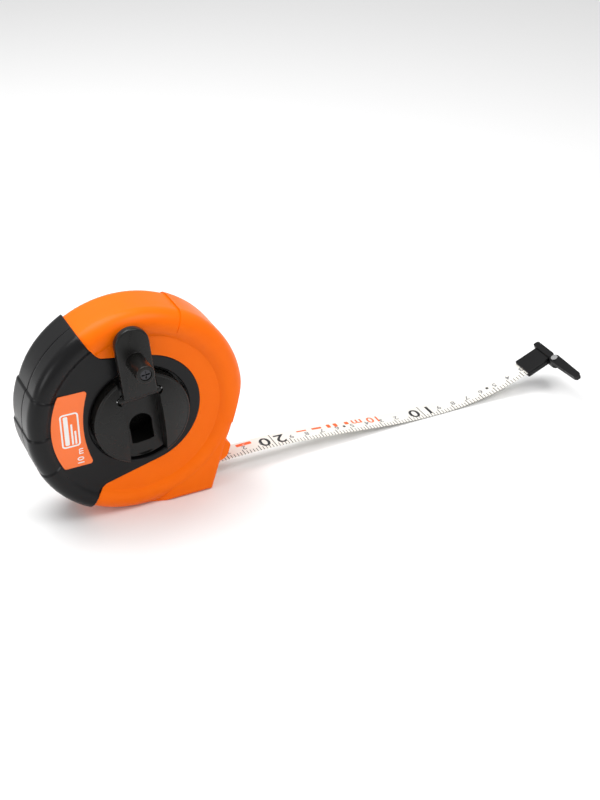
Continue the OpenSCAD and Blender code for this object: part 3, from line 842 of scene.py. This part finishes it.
    def pierce(self, piece: bpy.types.Object) -> None:
        """Cuts the openings over the case screws through the skin."""
        rods = []
        for angle in self.screw_angles:
            turned, faces = rod(self.screw_hole_r, -self.half_w - 2, 0.0)
            at = self.screw_r * np.array([math.cos(math.radians(angle)), math.sin(math.radians(angle)), 0])
            rods.append((turned + at, faces))
        points, faces = join(*rods)
        cutter = add_piece("screw_cutter", self.hub.world(points), faces, "case")
        cut = piece.modifiers.new("screw_openings", "BOOLEAN")
        cut.operation, cut.solver, cut.object = "DIFFERENCE", "EXACT", cutter
        pierced = bpy.data.meshes.new_from_object(piece.evaluated_get(bpy.context.evaluated_depsgraph_get()))
        piece.modifiers.clear()
        piece.data = pierced
        weld(pierced, 50)
        bpy.data.objects.remove(cutter)

    def opening_lip(self) -> bpy.types.Object:
        """The grip's lip, which lines the opening round the hub: a thin ring."""
        r, top = self.open_r, self.face_w - 0.4
        foot = self.lip_foot_w
        profile = np.array([[r - self.lip, foot], [r, foot], [r, top], [r - self.lip, top]])
        points, faces = lathe(profile[::-1], 128)
        return add_piece("grip_lip", self.hub.world(points), faces, "case")

    def build(self) -> None:
        """Builds both halves and dresses them."""
        front = self.half("front_grip_skin", "front_grip", 1, self.open_r)
        rear = self.half("rear_grip_skin", "rear_grip", -1, 0.0)
        Finishes.GRIP.dress(front, rear, self.opening_lip())


@dataclass(frozen=True)
class CadPieces:
    """The pieces that are shown in their CAD shape, by finish."""

    finishes: tuple[tuple[Finishes, tuple[str, ...]], ...] = (
        (Finishes.CASE, ("front_shell", "rear_shell")),
        (Finishes.LABEL, ("front_label",)),
        (Finishes.CRANK, ("bearing_ring", "crank_hub", "crank_knob", "reel_core", "reel_front_flange",
                          "reel_rear_flange")),
        (Finishes.REEL, ("guide_roller",)),
        (Finishes.WOUND, ("tape_coil", "tape_lead")),
        (Finishes.HOOK, ("hook_upper", "hook_lower", "hook_claw")),
        (Finishes.STEEL, ("case_screws", "axle_screw", "axle_washer", "roller_pin", "flap_pin",
                          "reel_screws", "claw_rivet")),
        (Finishes.DARK_STEEL, ("knob_screw",)))

    def build(self) -> None:
        """Dresses the pieces."""
        for finish, names in self.finishes:
            finish.dress(*(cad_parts[name] for name in names))


@dataclass
class Label:
    """The printed label on the grip: a rounded frame with plain bars, and the tape's length."""

    hub: HubFrame = field(default_factory=HubFrame)
    print_w: float = 15.97
    emblem_at: tuple[float, float] = (-38.6, 1.0)
    ring: tuple[float, float, float, float] = (20.6, 10.2, 1.9, 0.9)
    bars: tuple[tuple[float, float, float, float], ...] = (
        (17.6, 2.4, 0.0, 2.0), (12.4, 1.0, -2.6, -0.9), (8.0, 1.0, -4.8, -2.7))
    length_at: tuple[float, float] = (-34.2, -16.2)
    length_size: float = 5.0
    length_weight: float = 0.05

    def flat(self, points: np.ndarray, turn: float, u: float, v: float) -> np.ndarray:
        """Flat points (x, y) turned by an angle in degrees and set down on the label."""
        a = math.radians(turn)
        x, y = points[:, 0], points[:, 1]
        placed = np.stack([x * math.cos(a) - y * math.sin(a) + u, x * math.sin(a) + y * math.cos(a) + v,
                           np.full(len(x), self.print_w)], -1)
        return self.hub.world(placed)

    def frame_ring(self, width: float, height: float, radius: float, line: float) -> tuple[np.ndarray, list]:
        """A rounded rectangular line: quads between an outline and the same outline moved inwards."""
        outer = rounded_box(width, height, radius)
        inner = rounded_box(width - 2 * line, height - 2 * line, max(radius - line, 0.05))
        points = np.concatenate([outer, inner])
        return np.pad(points, ((0, 0), (0, 1))), grid_faces(2, len(outer), round_cols=True).tolist()

    def bar(self, width: float, height: float, x: float, y: float) -> tuple[np.ndarray, list]:
        """A plain printed bar with round corners, centred at (x, y)."""
        points = rounded_box(width, height, min(width, height) * 0.3) + np.array([x, y])
        return np.pad(points, ((0, 0), (0, 1))), [list(range(len(points)))]

    def build(self) -> None:
        """Builds the print."""
        points, faces = join(self.frame_ring(*self.ring), *(self.bar(*bar) for bar in self.bars))
        emblem = add_piece("label_frame", self.flat(points, 90, *self.emblem_at), faces, "case",
                           welded=False)
        figures, faces = lettering("10 m", self.length_size, self.length_weight)
        length = add_piece("label_length", self.flat(figures, 90, *self.length_at), faces, "case",
                           welded=False)
        Finishes.WHITE_INK.dress(emblem, length)


# --- crank


@dataclass
class Crank:
    """The crank's folding arm."""

    hub: HubFrame = field(default_factory=lambda: HubFrame(turn=5.0))
    arm_half: float = 9.3
    hinge_v: float = 15.5
    reach: float = 57.0
    back_w: float = 20.5
    front_w: float = 25.3
    knob_v: float = 38.0
    edge: float = 1.1
    hinge_w: float = 20.6
    barrel_r: float = 2.3
    barrel_half: float = 12.5

    def arm(self) -> bpy.types.Object:
        """The folding arm: a plate with round edges, a knuckle at the hinge and a seat for the knob.

        The plate's tip is a half circle, and the knuckle is a rod with ends that are half spheres.
        """
        a, low = self.arm_half, self.hinge_v + 1.4
        outline = rounded_outline([(-a, low, 1.2), (a, low, 1.2), (a, self.reach, a - 0.01),
                                   (-a, self.reach, a - 0.01)], 24)
        blade, faces = plate(outline, self.back_w, self.front_w, self.edge)
        round_end = np.radians(np.linspace(90, 0, 9))
        cap = np.stack([self.barrel_r * np.cos(round_end), self.barrel_r * np.sin(round_end)], 1)
        straight = self.barrel_half - self.barrel_r
        profile = np.concatenate([cap + [0, straight], cap[::-1] * [1, -1] - [0, straight]])
        turned, barrel_faces = lathe(profile, 48)
        barrel = turned[:, [2, 0, 1]] + [0, self.hinge_v, self.hinge_w]
        seat_r = 5.6
        foot, top = self.front_w - 0.5, self.front_w + 0.12
        seat_profile = np.array([[0.0, foot], [seat_r, foot], [seat_r, self.front_w],
                                 [seat_r - 0.15, top], [0.0, top]])
        seat, seat_faces = lathe(seat_profile)
        seat = seat + np.array([0, self.knob_v, 0])
        points, faces = join((blade, faces), (barrel, barrel_faces), (seat, seat_faces))
        piece = add_piece("crank_arm", self.hub.world(points), faces, "flap")
        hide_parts("crank_flap")
        return piece

    def build(self) -> None:
        """Builds the arm and dresses it."""
        Finishes.CRANK.dress(self.arm())


# --- tape


@dataclass
class Tape:
    """The free tape with its graduations and figures."""

    route: TapeRoute = field(default_factory=TapeRoute)
    width: float = 13.0
    print_lift: float = 0.03
    blocks: tuple[tuple[float, float, float], ...] = (
        (15.0, 2.6, 2.8), (15.75, 2.4, 3.6), (16.2, 2.4, 3.6), (17.0, 6.4, 1.8), (18.0, 6.4, 1.2),
        (21.7, 9.5, 2.6))
    pointers: tuple[float, ...] = (5.3, 15.3)
    tens_style: tuple[float, float, float] = (11.5, 0.16, 1.2)
    unit_style: tuple[float, float, float] = (5.0, 0.08, 1.1)
    length_style: tuple[float, float, float] = (8.4, 0.1, 1.15)
    tens_apart: float = 5.0

    def strip(self) -> bpy.types.Object:
        """The tape: a rounded rectangle carried along the route, with a print map on it.

        The map's first coordinate is the distance from the zero mark in centimetres and the second
        the share of the width from the near edge.
        """
        route = self.route
        s = np.linspace(-route.tail, route.length + route.beyond, 420)
        section = rounded_box(self.width, route.thick, route.thick / 2 * 0.9, 4)
        across, lift = section[:, 0], section[:, 1]
        shape = (len(s), len(section))
        points = np.stack([np.broadcast_to(s[:, None], shape), np.broadcast_to(across, shape),
                           np.broadcast_to(lift, shape)], -1)
        count = len(section)
        faces = grid_faces(len(s), count, round_cols=True)
        ends = [list(range(count)), list(range((len(s) - 1) * count, len(s) * count))[::-1]]
        piece = add_piece("printed_tape", route.world(points), faces.tolist() + ends, "tape",
                          crease=60)
        mesh = piece.data
        layer = mesh.uv_layers.new(name="print")
        loops = np.zeros(len(mesh.loops), int)
        mesh.loops.foreach_get("vertex_index", loops)
        along = (route.zero_at - points[..., 0].ravel()) / 10
        share = points[..., 1].ravel() / self.width + 0.5
        layer.data.foreach_set("uv", np.stack([along[loops], share[loops]], 1).astype(np.float32).ravel())
        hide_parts("tape_strip")
        return piece

    def set_down(self, flat: np.ndarray, value: float, across: float) -> np.ndarray:
        """Flat print (x, y) laid on the tape.

        Its x runs back towards the case and its y towards the near edge, so figures read from the hook.

        Args:
            flat: The print's points in millimetres.
            value: Centimetres from the zero mark to the print's middle.
            across: Place of its middle across the tape.

        Returns:
            The points in metres.
        """
        s = self.route.zero_at - value * 10 - flat[:, 0]
        lift = np.full(len(flat), self.route.thick / 2 + self.print_lift)
        return self.route.world(np.stack([s, across - flat[:, 1], lift], -1))

    def ink(self, name: str, finish: Finishes, *parts: tuple[np.ndarray, list]) -> None:
        """Puts print on the tape as one piece.

        Args:
            name: The piece's name.
            finish: Its ink.
            parts: Its points and faces.
        """
        points, faces = join(*parts)
        finish.dress(add_piece(name, points, faces, "tape", welded=False))

    def figures(self) -> None:
        """Figures of the whole centimetres, small for the units and large for the tens."""
        small, large = [], []
        for value in range(3, 24):
            if value % 10 == 0:
                for side, digit in zip((-1, 1), str(value)):
                    points, faces = lettering(digit, *self.tens_style)
                    moved = points + [side * self.tens_apart, 0, 0]
                    large.append((self.set_down(moved, value, 0.4), faces))
            else:
                points, faces = lettering(str(value % 10), *self.unit_style)
                small.append((self.set_down(points, value - 0.2, -0.2), faces))
        self.ink("tape_units", Finishes.GREY_INK, *small)
        self.ink("tape_tens", Finishes.INK, *large)

    def build(self) -> None:
        """Builds the tape and its print."""
        Finishes.TAPE.dress(self.strip())
        self.figures()
        points, faces = lettering("10 m", *self.length_style)
        self.ink("tape_length", Finishes.ORANGE_INK, (self.set_down(points, 13.7, 2.6), faces))
        self.ink("tape_marks", Finishes.ORANGE_INK,
                 *(self.block(value, 3.2, long, tall) for value, long, tall in self.blocks))
        self.ink("tape_pointers", Finishes.INK,
                 *(self.block(value, 0.2, 1.6, 2.0) for value in self.pointers))

    def block(self, value: float, across: float, long: float, tall: float) -> tuple[np.ndarray, list]:
        """A plain printed block with round corners on the tape."""
        flat = rounded_box(long, tall, min(long, tall) * 0.25)
        return self.set_down(flat, value, across), [list(range(len(flat)))]


# --- studio


@dataclass
class Studio:
    """Pale floor, soft lights and the camera."""

    eye: tuple[float, float, float] = (-0.2023, -0.6299, 0.4608)
    ahead: tuple[float, float, float] = (0.3706, 0.7677, -0.5228)
    right: tuple[float, float, float] = (0.8987, -0.4386, -0.0069)
    lens: float = 64.27
    sky: float = 0.62
    floor_half: float = 6.0
    aim: tuple[float, float, float] = (0.03, 0.0, 0.05)
    lamps: tuple[tuple[str, tuple[float, float, float], float, float], ...] = (
        ("key", (0.35, -0.45, 0.85), 0.45, 3.4), ("top", (-0.15, 0.25, 0.9), 0.6, 7.0),
        ("left", (-0.8, -0.2, 0.3), 0.3, 1.2))

    def camera(self) -> None:
        """The camera: its axes are made square from the direction ahead and the one to the right."""
        ahead = Vector(self.ahead).normalized()
        up = Vector(self.right).cross(ahead).normalized()
        right = ahead.cross(up).normalized()
        data = bpy.data.cameras.new("camera")
        data.sensor_fit = "VERTICAL"
        data.sensor_height = 36.0
        data.lens = self.lens
        data.clip_start = 0.01
        camera = bpy.data.objects.new("camera", data)
        turn = Matrix((right, up, -ahead)).transposed().to_4x4()
        camera.matrix_world = Matrix.Translation(Vector(self.eye)) @ turn
        bpy.context.scene.collection.objects.link(camera)
        bpy.context.scene.camera = camera

    def lamp(self, name: str, place: tuple[float, float, float], size: float, power: float) -> None:
        """A square soft light.

        Args:
            name: Its name.
            place: Where it stands, in metres.
            size: Length of its sides.
            power: Its power in watts.
        """
        data = bpy.data.lights.new(name, "AREA")
        data.size = size
        data.energy = power
        light = bpy.data.objects.new(name, data)
        light.location = place
        light.rotation_euler = (Vector(self.aim) - Vector(place)).to_track_quat("-Z", "Y").to_euler()
        bpy.context.scene.collection.objects.link(light)

    def build(self) -> None:
        """Builds the floor, the lights, the sky and the camera."""
        side = self.floor_half
        floor_points = np.array([[-side, -side, 0], [side, -side, 0], [side, side, 0], [-side, side, 0]])
        mesh = bpy.data.meshes.new("floor")
        mesh.from_pydata((floor_points - [0, 0, 0.0001]).tolist(), [], [[0, 1, 2, 3]])
        floor = bpy.data.objects.new("floor", mesh)
        bpy.context.scene.collection.objects.link(floor)
        paper = bpy.data.materials.new("floor_paper")
        paper.use_nodes = True
        shader = paper.node_tree.nodes["Principled BSDF"]
        shader.inputs["Base Color"].default_value = (0.86, 0.86, 0.86, 1)
        shader.inputs["Roughness"].default_value = 0.8
        mesh.materials.append(paper)
        world = bpy.data.worlds.new("sky")
        world.use_nodes = True
        world.node_tree.nodes["Background"].inputs[0].default_value = (1.0, 1.0, 1.0, 1)
        world.node_tree.nodes["Background"].inputs[1].default_value = self.sky
        bpy.context.scene.world = world
        bpy.context.scene.view_settings.view_transform = "Standard"
        for lamp in self.lamps:
            self.lamp(*lamp)
        self.camera()


def main() -> None:
    """Builds every part of the tape measure and its studio."""
    logging.basicConfig(level=logging.INFO, format="%(message)s")
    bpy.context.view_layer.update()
    for part in (Studio(), CadPieces(), SoftGrip(), Label(), Crank(), Tape()):
        LOG.info("building %s", type(part).__name__)
        part.build()
    bpy.context.view_layer.update()


if __name__ == "__main__":
    main()
